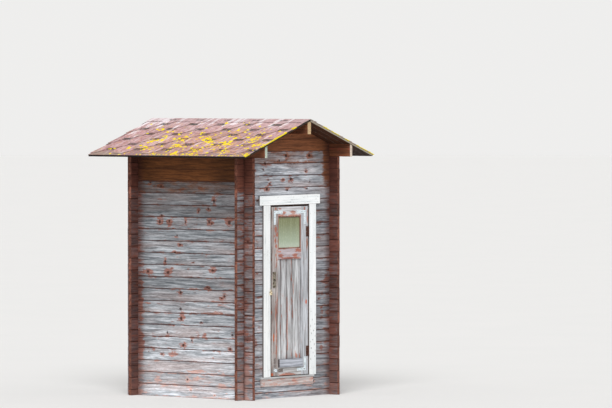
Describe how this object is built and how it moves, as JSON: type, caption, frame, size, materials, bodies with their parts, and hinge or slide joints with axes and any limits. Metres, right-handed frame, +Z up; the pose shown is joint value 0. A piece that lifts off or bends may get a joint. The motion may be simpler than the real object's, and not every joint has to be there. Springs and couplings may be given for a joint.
{
  "type": "small log shed",
  "caption": "Small log shed with crossed corners, a shingled gable roof, white door casing and a narrow glazed door that opens outward.",
  "frame": {"origin": "middle of the ground line, where the centre planes of the four log walls meet the ground", "axes": "+X to the right along the door front, +Y from the door front to the back, +Z up"},
  "size_m": [2.1672, 2.271, 3.0164],
  "materials": {
    "log_wood": "weathered, with worn red-brown paint",
    "roof_wood": "dark brown boards",
    "floor_wood": "rough",
    "shingle": "mineral felt, worn",
    "white_casing": "white paint, worn",
    "door_wood": "weathered, with worn paint",
    "frame_wood": "dark brown paint",
    "sill_wood": "worn red paint",
    "glass": "clear",
    "zinc_iron": "zinc coated, dull",
    "rusty_iron": "rusty",
    "brass": "tarnished"
  },
  "bodies": {
    "shed": {"left_wall": "log_wood", "right_wall": "log_wood", "back_wall": "log_wood", "front_wall_base": "log_wood", "front_wall_left": "log_wood", "front_wall_right": "log_wood", "front_gable": "log_wood", "left_wall_plate": "log_wood", "right_wall_plate": "log_wood", "ridge_beam": "log_wood", "left_roof_deck": "roof_wood", "right_roof_deck": "roof_wood", "left_shingles": "shingle", "right_shingles": "shingle", "ridge_cap": "shingle", "floor_boards": "floor_wood", "left_sleeper": "floor_wood", "middle_sleeper": "floor_wood", "right_sleeper": "floor_wood", "threshold": "sill_wood", "sill_board": "sill_wood", "left_jamb": "frame_wood", "right_jamb": "frame_wood", "head_jamb": "frame_wood", "left_casing": "white_casing", "right_casing": "white_casing", "head_casing": "white_casing", "upper_hinge_frame": "rusty_iron", "lower_hinge_frame": "rusty_iron", "padlock": "brass", "staple": "zinc_iron"},
    "door": {"left_stile": "door_wood", "right_stile": "door_wood", "top_rail": "door_wood", "mid_rail": "door_wood", "bottom_rail": "door_wood", "door_panel": "door_wood", "front_bead": "door_wood", "back_bead": "door_wood", "kick_board": "door_wood", "door_glass": "glass", "corner_irons": "zinc_iron", "upper_hinge_leaf": "rusty_iron", "lower_hinge_leaf": "rusty_iron", "lock_plate": "zinc_iron"}
  },
  "joints": [
    {"name": "door_hinge", "type": "hinge", "parent": "shed", "child": "door", "pos_m": [0.3185, -0.7995, 1.15], "axis": [0, 0, 1], "range_deg": [0, 110]}
  ]
}
